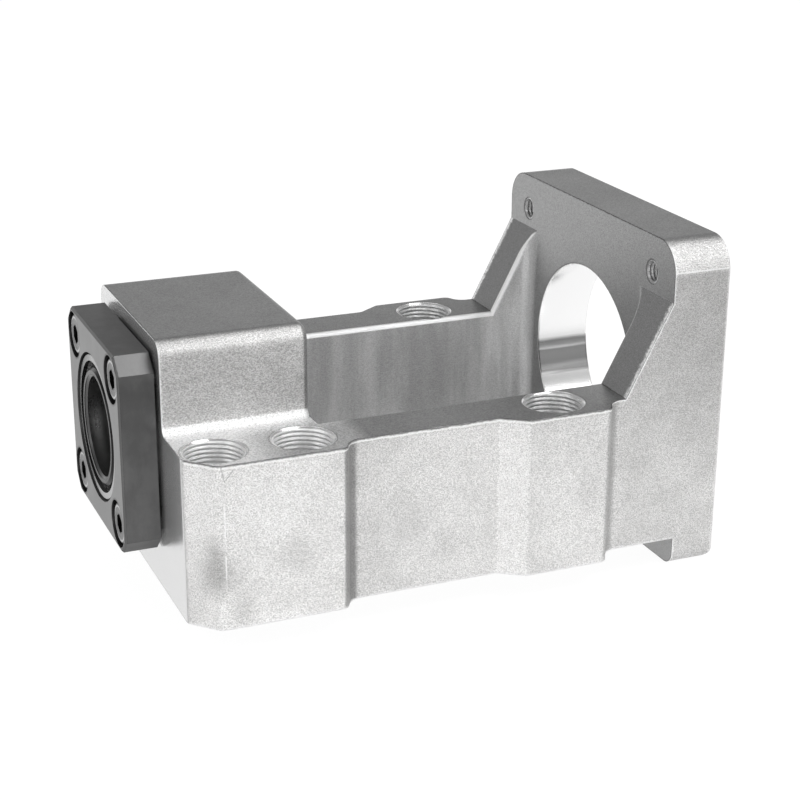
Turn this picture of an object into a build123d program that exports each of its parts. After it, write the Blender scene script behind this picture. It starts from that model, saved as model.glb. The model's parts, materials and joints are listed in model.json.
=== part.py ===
from build123d import *
import os
from math import pi, sqrt

# Ball screw motor bracket: one casting that carries a fixed-end bearing pair in a block
# at one end and a square motor flange at the other, on two rails with threaded base holes.
# Millimetres. Origin: centre of the four outer base holes, on the base plane.
# +X runs along the screw axis towards the motor, +Z up.

# Base holes
base_spacing_x = 59.4
base_spacing_y = 55.2
middle_hole_pitch = 14.8        # from an outer hole to the middle hole of its row
base_thread_radius = 5.0
base_rim = 0.4                  # countersink of the base holes

# Rails and their bosses
rail_height = 28.1
boss_wall = 1.5                 # from a base thread to the boss face
boss_proud = 2.9                # boss face beyond the side wall
pocket_wall = 0.8               # from a base thread to the pocket
pocket_corner_radius = 2.5      # at the flange, so the gussets flare inwards
pocket_edge_radius = 1.0        # inner top edges of the rails and gussets
end_wall = 0.8                  # from a base thread to the end face
end_chamfer_x = 4.4
end_chamfer_y = 4.7
left_boss_length = 25.65
left_boss_slope = 1.6
right_boss_before = 7.4         # from the outer hole towards the block
right_boss_after = 8.0          # from the outer hole towards the flange
right_boss_slope = 4.2
soft_edge_radius = 1.4          # cast vertical edges of the bosses
step_foot_radius = 2.8          # between the left boss and the side wall
end_corner_radius = 2.1         # both edges of the end chamfers

# Bearing block
axis_height = 24.0
block_length = 25.0
block_wall = 3.6                # beside the bearings
block_cap = 4.6                 # above the bearings
block_edge_radius = 2.8
block_root_radius = 1.5
block_rear_radius = 1.2

# Motor flange
hole_to_flange = 20.2           # outer base holes to the flange's inner face
flange_thickness = 10.6
flange_rise = 30.0              # above the screw axis
flange_drop = 4.8               # below the base plane
flange_top_radius = 5.5
flange_foot_radius = 2.5
flange_toe_radius = 2.0
lip_setback = 2.5
relief_height = 0.55
gusset_run = 8.3
gusset_height = 44.0
motor_spacing = 47.14
motor_thread_radius = 2.0
motor_rim = 0.15                # countersink of the motor holes
lower_thread_depth = 7.5
motor_bore_radius = 18.1
bore_break = 0.15               # broken edges of the motor bore

# Bearing pair, 17 x 30 x 7
bearing_bore_radius = 8.5
bearing_radius = 15.0
bearing_width = 7.0
ball_fill = 0.61                # ball diameter over the height of the ring section
ball_clearance = 0.08
shoulder_height = 0.68          # depth of the ball grooves in the rings
relieved_wall = 1.4             # outer ring wall beside its open shoulder
ring_chamfer = 0.3
cage_web = 1.65                 # between two balls, at least
cage_rim = 0.74                 # beside a ball's pocket
cage_clearance = 0.4            # from the rings' shoulders

# Fits
seat_clearance = 0.01           # rings and cases in their seats
lip_clearance = 0.05            # seal lips round the collars
seat_depth = 19.5
seat_chamfer = 0.4

# Retainer plate and its screws
plate_margin = 0.5              # outside the counterbores
plate_thickness = 6.0
plate_corner = 2.7
plate_edge = 0.35
plate_gap = 0.45
opening_radius = 12.65
screw_wall = 0.68               # between a screw and the bearing seat
screw_radius = 2.0
screw_length = 12.0
screw_clearance = 0.2           # round the shank in the plate
thread_clearance = 0.02
thread_runout = 2.0             # tapped hole beyond the screw's end
head_radius = 3.5
head_height = 4.0
head_recess = 0.3
head_edge = 0.4
head_side_clearance = 0.5
hex_width = 3.0
hex_depth = 2.0

# Collars
collar_radius = 10.0
collar_chamfer = 0.45
collar_recess = 0.3             # front collar behind the plate's face
collar_stand = 1.0              # rear collar proud of the block

# Seals
seal_width = 4.0
seal_recess = 0.3
case_wall = 0.7
case_rim = 1.45                 # radial width of the case's front disc
case_round = 0.45
lip_setback_x = 0.5             # rubber face behind the case's face
groove_depth = 1.0

# Positions that follow from the sizes above
outer_hole_x = base_spacing_x / 2
hole_y = base_spacing_y / 2
base_rim_radius = base_thread_radius + base_rim
middle_hole_x = middle_hole_pitch - outer_hole_x
end_x = -outer_hole_x - base_thread_radius - end_wall
block_rear_x = end_x + block_length
flange_x = outer_hole_x + hole_to_flange
motor_face_x = flange_x + flange_thickness
lip_x = flange_x + lip_setback
right_boss_start = outer_hole_x - right_boss_before
right_boss_end = outer_hole_x + right_boss_after
boss_half_width = hole_y + base_thread_radius + boss_wall
side_half_width = boss_half_width - boss_proud
pocket_half_width = hole_y - base_thread_radius - pocket_wall
block_half_width = bearing_radius + block_wall
block_height = axis_height + bearing_radius + block_cap
seat_bottom_x = end_x + seat_depth
rear_bearing_x = seat_bottom_x - bearing_width
front_bearing_x = rear_bearing_x - bearing_width
plate_back_x = end_x - plate_gap
plate_front_x = plate_back_x - plate_thickness
screw_spacing = sqrt(2) * (bearing_radius + screw_radius + screw_wall)
plate_half_width = screw_spacing / 2 + head_radius + head_side_clearance + plate_margin
pitch_radius = (bearing_bore_radius + bearing_radius) / 2
ball_radius = ball_fill * (bearing_radius - bearing_bore_radius) / 2
ball_count = int(2 * pi * pitch_radius / (2 * ball_radius + cage_web))
land_height = ball_radius - shoulder_height
cage_thickness = 2 * (land_height - cage_clearance)
cage_width = 2 * (ball_radius + ball_clearance + cage_rim)
screw_head_x = plate_front_x + head_recess
screw_seat_x = screw_head_x + head_height
past = 1.0                      # how far a cutter runs past a face


def box_between(x_low, x_high, y_low, y_high, z_low, z_high):
    centre = ((x_low + x_high) / 2, (y_low + y_high) / 2, (z_low + z_high) / 2)
    return Pos(centre) * Box(x_high - x_low, y_high - y_low, z_high - z_low)


def rod_along_x(radius, x_low, x_high, y=0.0, z=axis_height):
    return Pos((x_low + x_high) / 2, y, z) * Rot(0, 90, 0) * Cylinder(radius, x_high - x_low)


def cone_along_x(radius_low, radius_high, x_low, x_high, y=0.0, z=axis_height):
    cone = Cone(radius_low, radius_high, x_high - x_low)
    return Pos((x_low + x_high) / 2, y, z) * Rot(0, 90, 0) * cone


def turned(points):
    """A ring about the screw axis from its (x, radius) outline."""
    section = Plane.XZ * make_face(Polyline(*points, close=True))
    return Pos(0, 0, axis_height) * revolve(section, Axis.X)


def four_places(spacing):
    half = spacing / 2
    return [(y, axis_height + z) for z in (half, -half) for y in (-half, half)]


# Bracket casting

def rail_outline():
    """The plan of the near half, boss steps included, closed along the centre line."""
    side = -side_half_width
    boss = -boss_half_width
    left_boss_end = end_x + left_boss_length
    steps = [
        (end_x, 0),
        (end_x, boss + end_chamfer_y),
        (end_x + end_chamfer_x, boss),
        (left_boss_end, boss),
        (left_boss_end + left_boss_slope, side),
        (right_boss_start - right_boss_slope, side),
        (right_boss_start, boss),
        (right_boss_end, boss),
    ]
    corner = (right_boss_end + boss_proud, side)
    turn = boss_proud * (1 - sqrt(0.5))
    middle = (right_boss_end + turn, side - turn)
    edges = Polyline(*steps)
    edges += ThreePointArc(steps[-1], middle, corner)
    edges += Polyline(corner, (motor_face_x, side), (motor_face_x, 0), steps[0])
    plan = make_face(edges)
    rounded = [
        (steps[1:3], end_corner_radius),
        (steps[3:4] + steps[5:], soft_edge_radius),
        (steps[4:5], step_foot_radius),
    ]
    for places, radius in rounded:
        found = [
            vertex for vertex in plan.vertices()
            if any(abs(vertex.X - x) + abs(vertex.Y - y) < 0.01 for x, y in places)
        ]
        plan = fillet(found, radius)
    return plan


def rails():
    near = extrude(rail_outline(), rail_height)
    return near + mirror(near, Plane.XZ)


def bearing_block():
    """The block's section with its rounded top and its root fillets, run along X."""
    wall = block_half_width
    top = block_height
    edge = block_edge_radius
    root = block_root_radius
    rise = edge * sqrt(0.5)
    dip = root * (1 - sqrt(0.5))
    right = Polyline((0, 0), (wall + root, 0), (wall + root, rail_height))
    right += ThreePointArc(
        (wall + root, rail_height), (wall + dip, rail_height + dip), (wall, rail_height + root)
    )
    right += Line((wall, rail_height + root), (wall, top - edge))
    right += ThreePointArc(
        (wall, top - edge), (wall - edge + rise, top - edge + rise), (wall - edge, top)
    )
    right += Polyline((wall - edge, top), (0, top), (0, 0))
    section = make_face(right)
    block = extrude(Plane.YZ.offset(end_x) * section, block_length)
    block += mirror(block, Plane.XZ)
    rear_edges = [
        edge_of for edge_of in block.edges()
        if abs(edge_of.center().X - block_rear_x) < 0.01
        and edge_of.bounding_box().min.Z > rail_height - 0.01
    ]
    return fillet(rear_edges, block_rear_radius)


def flange():
    low = -flange_drop
    high = axis_height + flange_rise
    middle = (low + high) / 2
    outline = Pos(0, middle) * Rectangle(2 * side_half_width, high - low)
    upper = outline.vertices().filter_by_position(Axis.Y, middle, high)
    outline = fillet(upper, flange_top_radius)
    lower = [corner_of for corner_of in outline.vertices() if abs(corner_of.Y - low) < 0.01]
    outline = fillet(lower, flange_foot_radius)
    plate = extrude(Plane.YZ.offset(flange_x) * outline, flange_thickness)
    profile = Pos(flange_x + flange_thickness / 2, middle) * Rectangle(flange_thickness, high - low)
    toe = profile.vertices().sort_by(Axis.Y)[:2].sort_by(Axis.X)[-1]
    profile = fillet(toe, flange_toe_radius)
    return plate & extrude(Plane.XZ * profile, side_half_width + past, both=True)


def gussets():
    triangle = Polyline(
        (flange_x - gusset_run, rail_height),
        (flange_x + past, rail_height),
        (flange_x + past, gusset_height),
        (flange_x, gusset_height),
        close=True,
    )
    return extrude(Plane.XZ * make_face(triangle), side_half_width, both=True)


def pocket():
    outline = Rectangle(flange_x - block_rear_x, 2 * pocket_half_width)
    outline = fillet(outline.vertices().group_by(Axis.X)[-1], pocket_corner_radius)
    height = axis_height + flange_rise + 2 * past
    return Pos((flange_x + block_rear_x) / 2, 0, -past) * extrude(outline, height)


def pocket_top_edges(body):
    """The straight edges along the pocket's top, up the gussets' slopes too."""
    found = []
    for edge_of in body.edges():
        box = edge_of.bounding_box()
        on_wall = abs(abs(edge_of.center().Y) - pocket_half_width) < 0.01 and box.size.Y < 0.01
        if on_wall and box.min.Z > rail_height - 0.01 and box.size.X > 0:
            found.append(edge_of)
    return found


def base_threads():
    rim = base_rim_radius - base_thread_radius
    tool = Pos(0, 0, rail_height / 2) * Cylinder(base_thread_radius, rail_height + 2 * past)
    tool += Pos(0, 0, rail_height - rim / 2) * Cone(base_thread_radius, base_rim_radius, rim)
    tool += Pos(0, 0, rim / 2) * Cone(base_rim_radius, base_thread_radius, rim)
    places = [(x, y) for x in (-outer_hole_x, middle_hole_x, outer_hole_x) for y in (-hole_y, hole_y)]
    return [Pos(x, y, 0) * tool for x, y in places]


def motor_holes():
    tools = []
    for y, z in four_places(motor_spacing):
        deep = flange_thickness + past if z > axis_height else lower_thread_depth
        tools.append(rod_along_x(motor_thread_radius, motor_face_x - deep, motor_face_x + past, y, z))
        wide = motor_thread_radius + motor_rim
        tools.append(
            cone_along_x(motor_thread_radius, wide, motor_face_x - motor_rim, motor_face_x, y, z)
        )
        if z > axis_height:
            tools.append(cone_along_x(wide, motor_thread_radius, flange_x, flange_x + motor_rim, y, z))
    return tools


def motor_opening():
    wide = motor_bore_radius + bore_break
    return [
        rod_along_x(motor_bore_radius, flange_x - past, motor_face_x + past),
        cone_along_x(wide, motor_bore_radius, flange_x, flange_x + bore_break),
        cone_along_x(motor_bore_radius, wide, motor_face_x - bore_break, motor_face_x),
    ]


def bearing_seat():
    mouth = bearing_radius + seat_clearance
    tools = [
        rod_along_x(mouth, end_x - past, seat_bottom_x),
        rod_along_x(opening_radius, end_x, block_rear_x + past),
        cone_along_x(mouth + seat_chamfer, mouth, end_x, end_x + seat_chamfer),
    ]
    grip_end = screw_seat_x + screw_length + thread_runout
    for y, z in four_places(screw_spacing):
        tools.append(rod_along_x(screw_radius + thread_clearance, end_x - past, grip_end, y, z))
    return tools


def underside_relief():
    """The step under the rails that runs up to the locating lip."""
    wide = boss_half_width + past
    return box_between(right_boss_end, lip_x, -wide, wide, -flange_drop - past, relief_height)


def bracket_body():
    body = rails() + bearing_block() + flange() + gussets()
    body -= pocket()
    body = fillet(pocket_top_edges(body), pocket_edge_radius)
    body -= underside_relief()
    for tool in base_threads() + motor_holes() + motor_opening() + bearing_seat():
        body -= tool
    return body


# Bearings

def outer_ring(x_start, high_at_front):
    x_end = x_start + bearing_width
    middle = (x_start + x_end) / 2
    high = pitch_radius + land_height
    low = bearing_radius - relieved_wall
    front = high if high_at_front else low
    rear = low if high_at_front else high
    cut = ring_chamfer
    ring = turned([
        (x_start + cut, bearing_radius), (x_end - cut, bearing_radius), (x_end, bearing_radius - cut),
        (x_end, rear), (middle, rear), (middle, front), (x_start, front), (x_start, bearing_radius - cut),
    ])
    return ring - ball_groove(middle)


def inner_ring(x_start):
    x_end = x_start + bearing_width
    land = pitch_radius - land_height
    cut = ring_chamfer
    ring = turned([
        (x_start, bearing_bore_radius), (x_end, bearing_bore_radius), (x_end, land - cut),
        (x_end - cut, land), (x_start + cut, land), (x_start, land - cut),
    ])
    return ring - ball_groove((x_start + x_end) / 2)


def ball_groove(x_middle):
    groove = Torus(pitch_radius, ball_radius + ball_clearance)
    return Pos(x_middle, 0, axis_height) * Rot(0, 90, 0) * groove


def ball_places(x_middle):
    turn = 360 / ball_count
    return [Pos(x_middle, 0, axis_height) * Rot(index * turn, 0, 0) for index in range(ball_count)]


def cage(x_start):
    middle = x_start + bearing_width / 2
    inner = pitch_radius - cage_thickness / 2
    outer = pitch_radius + cage_thickness / 2
    x_low = middle - cage_width / 2
    x_high = middle + cage_width / 2
    ring = turned([(x_low, inner), (x_high, inner), (x_high, outer), (x_low, outer)])
    pocket_tool = Pos(0, 0, pitch_radius) * Cylinder(ball_radius + ball_clearance, 3 * cage_thickness)
    for place in ball_places(middle):
        ring -= place * pocket_tool
    return ring


def balls(x_start):
    middle = x_start + bearing_width / 2
    ball = Pos(0, 0, pitch_radius) * Sphere(ball_radius)
    return Compound([(place * ball).solid() for place in ball_places(middle)])


# Collars and seals

def collar(x_low, x_high):
    cut = collar_chamfer
    front = cut if x_low < front_bearing_x else 0
    rear = cut - front
    bore = bearing_bore_radius
    outline = [(x_low, bore + front), (x_low + front, bore), (x_high - rear, bore), (x_high, bore + rear)]
    outline += [(x_high, collar_radius - cut), (x_high - cut, collar_radius)]
    outline += [(x_low + cut, collar_radius), (x_low, collar_radius - cut)]
    distinct = [point for index, point in enumerate(outline) if point != outline[index - 1]]
    return turned(distinct)


def seal_case(x_face, inward):
    """Pressed steel case: an L section whose disc faces outwards."""
    outer = opening_radius - seat_clearance
    disc = outer - case_rim
    x_round = x_face + inward * case_round
    x_disc = x_face + inward * case_wall
    x_end = x_face + inward * seal_width
    return turned([
        (x_face, disc), (x_face, outer - case_round), (x_round, outer), (x_end, outer),
        (x_end, outer - case_wall), (x_disc, outer - case_wall), (x_disc, disc),
    ])


def seal_lip(x_face, inward):
    """Rubber element inside the case, with a groove round its lip."""
    outer = opening_radius - seat_clearance - case_wall
    disc = opening_radius - seat_clearance - case_rim
    tip = collar_radius + lip_clearance
    face = x_face + inward * lip_setback_x
    behind = x_face + inward * case_wall
    groove = face + inward * groove_depth
    back = x_face + inward * seal_width
    wall = (disc - tip) / 3
    return turned([
        (behind, outer), (behind, disc), (groove, disc - wall), (groove, tip + wall),
        (face, tip), (back, tip), (back, outer),
    ])


# Retainer plate and screws

def retainer_plate():
    outline = Rectangle(2 * plate_half_width, 2 * plate_half_width)
    outline = chamfer(outline.vertices(), plate_corner)
    on_axis = Plane.YZ.offset(plate_front_x) * Pos(0, axis_height)
    plate = extrude(on_axis * outline, plate_thickness)
    plate = chamfer(plate.faces().sort_by(Axis.X)[0].edges(), plate_edge)
    plate += rod_along_x(bearing_radius - seat_clearance, plate_back_x, front_bearing_x)
    plate -= rod_along_x(opening_radius, plate_front_x - past, front_bearing_x + past)
    for y, z in four_places(screw_spacing):
        wide = head_radius + head_side_clearance
        plate -= rod_along_x(wide, plate_front_x - past, screw_seat_x, y, z)
        plate -= rod_along_x(screw_radius + screw_clearance, plate_front_x, plate_back_x + past, y, z)
    return plate


def socket_screw(y, z):
    head = rod_along_x(head_radius, screw_head_x, screw_seat_x, y, z)
    head = fillet(head.edges().sort_by(Axis.X)[0], head_edge)
    hexagon = RegularPolygon(hex_width / sqrt(3), 6, rotation=30)
    at_head = Plane.YZ.offset(screw_head_x) * Pos(y, z)
    head -= extrude(at_head * hexagon, hex_depth)
    shank = rod_along_x(screw_radius, screw_seat_x, screw_seat_x + screw_length, y, z)
    shank = chamfer(shank.edges().sort_by(Axis.X)[-1], head_edge)
    return head + shank


nodes = {
    "bracket_body": bracket_body(),
    "retainer_plate": retainer_plate(),
    "front_outer_ring": outer_ring(front_bearing_x, high_at_front=True),
    "rear_outer_ring": outer_ring(rear_bearing_x, high_at_front=False),
    "front_inner_ring": inner_ring(front_bearing_x),
    "rear_inner_ring": inner_ring(rear_bearing_x),
    "front_cage": cage(front_bearing_x),
    "rear_cage": cage(rear_bearing_x),
    "front_balls": balls(front_bearing_x),
    "rear_balls": balls(rear_bearing_x),
    "front_collar": collar(plate_front_x + collar_recess, front_bearing_x),
    "rear_collar": collar(seat_bottom_x, block_rear_x + collar_stand),
    "front_seal_case": seal_case(plate_front_x + seal_recess, 1),
    "front_seal_lip": seal_lip(plate_front_x + seal_recess, 1),
    "rear_seal_case": seal_case(block_rear_x - seal_recess, -1),
    "rear_seal_lip": seal_lip(block_rear_x - seal_recess, -1),
}
for number, (y, z) in enumerate(four_places(screw_spacing), start=1):
    nodes[f"retainer_screw_{number}"] = socket_screw(y, z)

os.makedirs("parts", exist_ok=True)
for name, shape in nodes.items():
    export_step(shape, f"parts/{name}.step")
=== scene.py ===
import bpy
import bmesh
import json
from math import cos, pi, radians, sin
from mathutils import Matrix, Vector


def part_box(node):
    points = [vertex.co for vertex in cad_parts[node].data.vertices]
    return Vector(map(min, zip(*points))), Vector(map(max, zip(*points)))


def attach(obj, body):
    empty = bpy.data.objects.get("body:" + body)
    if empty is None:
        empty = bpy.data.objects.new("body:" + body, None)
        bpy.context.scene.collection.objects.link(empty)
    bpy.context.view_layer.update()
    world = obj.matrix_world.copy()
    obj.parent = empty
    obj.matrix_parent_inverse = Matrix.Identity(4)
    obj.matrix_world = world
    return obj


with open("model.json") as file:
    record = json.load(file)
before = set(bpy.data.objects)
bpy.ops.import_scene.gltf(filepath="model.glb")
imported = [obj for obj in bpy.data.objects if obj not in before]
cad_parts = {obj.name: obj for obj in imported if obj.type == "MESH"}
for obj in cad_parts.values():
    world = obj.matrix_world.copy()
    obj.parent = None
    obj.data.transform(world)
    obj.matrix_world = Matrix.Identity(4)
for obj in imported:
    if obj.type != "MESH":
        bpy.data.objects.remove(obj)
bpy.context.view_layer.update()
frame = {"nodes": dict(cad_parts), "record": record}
print("frame loaded:", len(frame["nodes"]), "nodes")

mm = 0.001
bracketLow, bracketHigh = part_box("bracket_body")
plateLow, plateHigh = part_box("retainer_plate")
screwAxisHeight = (plateLow.z + plateHigh.z) / 2

# Where the casting's features are, in millimetres
casting = {
    "railTop": 28.1,
    "baseHoleX": (-29.7, -14.9, 29.7),
    "baseHoleY": 27.6,
    "motorHoleSpacing": 47.14,
    "motorFace": bracketHigh.x / mm,
    "flangeFace": 49.9,
    "boreRadius": 18.1,
    "blockRear": -10.5,
    "screwOffset": 12.5,
}


def deselectAll():
    for thing in bpy.context.selected_objects:
        thing.select_set(False)


def makeActive(piece):
    deselectAll()
    piece.select_set(True)
    bpy.context.view_layer.objects.active = piece


def selectVertices(piece, chosen):
    # Selects the vertices of the edited piece whose place passes the test
    mesh = bmesh.from_edit_mesh(piece.data)
    for vertex in mesh.verts:
        vertex.select = chosen(vertex.co)
    mesh.select_flush_mode()
    bmesh.update_edit_mesh(piece.data)


def settle(piece):
    # Puts the piece's place into its mesh
    makeActive(piece)
    bpy.ops.object.transform_apply(location=True, rotation=True, scale=True)


def copyTo(piece, name, place):
    twin = piece.copy()
    twin.data = piece.data.copy()
    twin.name = name
    bpy.context.scene.collection.objects.link(twin)
    twin.location = Vector(place)
    settle(twin)
    return twin


# Screw threads, in millimetres: the crest stands the depth out of the hole's wall, and the root
# is buried in the wall

baseThread = {
    "radius": 5.0,
    "pitch": 0.75,
    "depth": 0.2,
    "buried": 0.2,
    "top": 27.8,
    "bottom": 0.35,
    "steps": 56,
}

motorThread = {
    "radius": 2.0,
    "pitch": 0.7,
    "depth": 0.36,
    "buried": 0.12,
    "top": 10.5,
    "blindTop": 7.2,
    "bottom": 0.12,
    "steps": 36,
}

# The ridge's width and rounding as shares of the pitch, and how it is finished: tolerances in
# millimetres, the angle in degrees
ridgeForm = {
    "halfWidth": 0.48,
    "crestRound": 0.07,
    "roundSegments": 2,
    "spareTurns": 3,
    "cutTolerance": 0.0001,
    "mergeTolerance": 0.0005,
    "smoothAngle": 35,
}


def threadRidge(name, thread):
    # A helical ridge about Z, cut flat at both ends of the hole
    deselectAll()
    halfWidth = thread["pitch"] * ridgeForm["halfWidth"] * mm
    radius = thread["radius"] * mm
    turns = int((thread["top"] - thread["bottom"]) / thread["pitch"]) + ridgeForm["spareTurns"]
    start = thread["bottom"] * mm - halfWidth * 2
    bpy.ops.mesh.primitive_circle_add(
        vertices=4, radius=halfWidth, location=(radius, 0, start), rotation=(pi / 2, 0, 0))
    ridge = bpy.context.object
    ridge.name = name
    settle(ridge)
    bpy.ops.object.mode_set(mode="EDIT")
    selectVertices(ridge, lambda place: place.x < radius - halfWidth / 2)  # the crest
    bpy.ops.transform.translate(value=(halfWidth - thread["depth"] * mm, 0, 0))
    selectVertices(ridge, lambda place: place.x > radius + halfWidth / 2)  # the root
    bpy.ops.transform.translate(value=(thread["buried"] * mm - halfWidth, 0, 0))
    selectVertices(ridge, lambda place: place.x < radius - halfWidth / 2)
    bpy.ops.mesh.bevel(
        offset=thread["pitch"] * mm * ridgeForm["crestRound"],
        segments=ridgeForm["roundSegments"], affect="VERTICES")
    bpy.ops.object.mode_set(mode="OBJECT")
    screw = ridge.modifiers.new("helix", "SCREW")
    screw.axis = "Z"
    screw.angle = 2 * pi
    screw.screw_offset = thread["pitch"] * mm
    screw.iterations = turns
    screw.steps = thread["steps"]
    screw.render_steps = thread["steps"]
    bpy.ops.object.modifier_apply(modifier=screw.name)
    bpy.ops.object.mode_set(mode="EDIT")
    for height, upwards in ((thread["top"], True), (thread["bottom"], False)):
        bpy.ops.mesh.select_all(action="SELECT")
        bpy.ops.mesh.bisect(
            plane_co=(0, 0, height * mm), plane_no=(0, 0, 1), use_fill=True,
            clear_outer=upwards, clear_inner=not upwards, threshold=ridgeForm["cutTolerance"] * mm)
    bpy.ops.mesh.select_all(action="SELECT")
    bpy.ops.mesh.remove_doubles(threshold=ridgeForm["mergeTolerance"] * mm)
    bpy.ops.mesh.normals_make_consistent(inside=False)
    bpy.ops.object.mode_set(mode="OBJECT")
    bpy.ops.object.shade_smooth_by_angle(angle=radians(ridgeForm["smoothAngle"]))
    return ridge


threads = []
firstBase = threadRidge("base_thread", baseThread)
for x in casting["baseHoleX"]:
    for side in (-1, 1):
        name = f"base_thread_{len(threads) + 1}"
        threads.append(copyTo(firstBase, name, (x * mm, side * casting["baseHoleY"] * mm, 0)))
bpy.data.objects.remove(firstBase)
print("base threads:", len(threads))

blindThread = dict(motorThread, top=motorThread["blindTop"])
halfSpacing = casting["motorHoleSpacing"] / 2 * mm
rows = (("upper", motorThread, halfSpacing), ("lower", blindThread, -halfSpacing))
for label, thread, level in rows:
    ridge = threadRidge("motor_thread", thread)
    ridge.rotation_euler = (0, -pi / 2, 0)
    settle(ridge)
    for side, word in ((-1, "near"), (1, "far")):
        place = (casting["motorFace"] * mm, side * halfSpacing, screwAxisHeight + level)
        threads.append(copyTo(ridge, f"motor_thread_{label}_{word}", place))
    bpy.data.objects.remove(ridge)
print("all threads:", len(threads))

for ridge in threads:
    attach(ridge, "bracket")


# Short ways to add and link nodes. A value may be a number or another node's socket

class Tree:
    def __init__(self, tree):
        self.nodes = tree.nodes
        self.links = tree.links

    def put(self, value, socket):
        if isinstance(value, bpy.types.NodeSocket):
            self.links.new(value, socket)
        else:
            socket.default_value = value

    def math(self, operation, first, second=0.0):
        node = self.nodes.new("ShaderNodeMath")
        node.operation = operation
        self.put(first, node.inputs[0])
        self.put(second, node.inputs[1])
        return node.outputs[0]

    def plus(self, first, second):
        return self.math("ADD", first, second)

    def minus(self, first, second):
        return self.math("SUBTRACT", first, second)

    def rest(self, share):
        return self.math("SUBTRACT", 1.0, share)

    def size(self, value):
        return self.math("ABSOLUTE", value)

    def larger(self, first, second):
        return self.math("MAXIMUM", first, second)

    def smaller(self, first, second):
        return self.math("MINIMUM", first, second)

    def above(self, value, limit):
        return self.math("GREATER_THAN", value, limit)

    def below(self, value, limit):
        return self.math("LESS_THAN", value, limit)

    def times(self, *values):
        product = values[0]
        for value in values[1:]:
            product = self.math("MULTIPLY", product, value)
        return product

    def distance(self, first, second):
        squares = self.plus(self.times(first, first), self.times(second, second))
        return self.math("SQRT", squares)

    def dot(self, first, second):
        node = self.nodes.new("ShaderNodeVectorMath")
        node.operation = "DOT_PRODUCT"
        self.put(first, node.inputs[0])
        self.put(second, node.inputs[1])
        return node.outputs["Value"]

    def scaled(self, colour, share):
        node = self.nodes.new("ShaderNodeVectorMath")
        node.operation = "SCALE"
        self.put(colour[:3] if isinstance(colour, tuple) else colour, node.inputs[0])
        self.put(share, node.inputs["Scale"])
        return node.outputs["Vector"]

    def split(self, vector):
        node = self.nodes.new("ShaderNodeSeparateXYZ")
        self.put(vector, node.inputs[0])
        return node.outputs

    def join(self, x, y, z):
        node = self.nodes.new("ShaderNodeCombineXYZ")
        for value, socket in zip((x, y, z), node.inputs):
            self.put(value, socket)
        return node.outputs["Vector"]

    def objectPlace(self):
        return self.nodes.new("ShaderNodeTexCoord").outputs["Object"]

    def noise(self, scale, detail, roughness, vector=None):
        node = self.nodes.new("ShaderNodeTexNoise")
        self.put(scale, node.inputs["Scale"])
        node.inputs["Detail"].default_value = detail
        node.inputs["Roughness"].default_value = roughness
        self.put(vector if vector is not None else self.objectPlace(), node.inputs["Vector"])
        return node.outputs["Fac"]

    def drawnNoise(self, scales, detail, roughness):
        # Noise with its own scale along X, Y and Z
        node = self.nodes.new("ShaderNodeMapping")
        node.inputs["Scale"].default_value = scales
        self.put(self.objectPlace(), node.inputs["Vector"])
        return self.noise(1.0, detail, roughness, node.outputs["Vector"])

    def wander(self, noise, reach):
        # Noise about 0, with its reach in millimetres
        return self.times(self.minus(noise, 0.5), reach * mm)

    def step(self, value, limits, out=(0.0, 1.0)):
        # Goes smoothly from the first to the second out value between the two limits
        node = self.nodes.new("ShaderNodeMapRange")
        node.interpolation_type = "SMOOTHSTEP"
        self.put(value, node.inputs["Value"])
        self.put(limits[0], node.inputs["From Min"])
        self.put(limits[1], node.inputs["From Max"])
        self.put(out[0], node.inputs["To Min"])
        self.put(out[1], node.inputs["To Max"])
        return node.outputs["Result"]

    def past(self, value, limits, out=(0.0, 1.0)):
        # As step, with the limits in millimetres
        return self.step(value, [limit * mm for limit in limits], out)

    def band(self, value, middle, reach):
        # 1 at the middle, down to 0 where the value is the reach away, both in millimetres
        return self.past(self.size(self.minus(value, middle * mm)), (reach, 0.0))

    def mix(self, share, first, second):
        # Mixes two colours, which the node takes at its sockets 6 and 7
        node = self.nodes.new("ShaderNodeMix")
        node.data_type = "RGBA"
        self.put(share, node.inputs[0])
        self.put(first, node.inputs[6])
        self.put(second, node.inputs[7])
        return node.outputs[2]

    def blend(self, share, first, second):
        # Mixes two values, which the node takes at its sockets 2 and 3
        node = self.nodes.new("ShaderNodeMix")
        node.data_type = "FLOAT"
        self.put(share, node.inputs[0])
        self.put(first, node.inputs[2])
        self.put(second, node.inputs[3])
        return node.outputs[0]

    def group(self, group, **values):
        node = self.nodes.new("ShaderNodeGroup")
        node.node_tree = group
        for label, value in values.items():
            self.put(value, node.inputs[label])
        return node.outputs


class Spot:
    # Where a point of a surface lies, and which way the surface looks there
    def __init__(self, tree):
        coordinates = tree.nodes.new("ShaderNodeTexCoord").outputs
        self.x, self.y, self.z = tree.split(coordinates["Object"])
        self.lookX, self.lookY, self.lookZ = tree.split(coordinates["Normal"])
        self.aside = tree.size(self.y)
        self.up = tree.minus(self.z, screwAxisHeight)


def axisReach(tree, spot, offset=0.0):
    # Distance from the screw axis, or from the nearest of four axes that lie the offset away
    across = tree.minus(spot.aside, offset * mm)
    up = tree.minus(tree.size(spot.up), offset * mm)
    return tree.distance(across, up)


# Shader node groups. A noise is given by its scale, detail and roughness. In all finishes the
# scales are per metre, and the widths of edges and depths of bumps are in metres

def newGroup(name, inputs, outputs):
    group = bpy.data.node_groups.new(name, "ShaderNodeTree")
    for label, value in inputs:
        socket = group.interface.new_socket(label, in_out="INPUT", socket_type="NodeSocketFloat")
        socket.default_value = value
    for label, kind in outputs:
        group.interface.new_socket(label, in_out="OUTPUT", socket_type=kind)
    return group, group.nodes.new("NodeGroupInput"), group.nodes.new("NodeGroupOutput")


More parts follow.
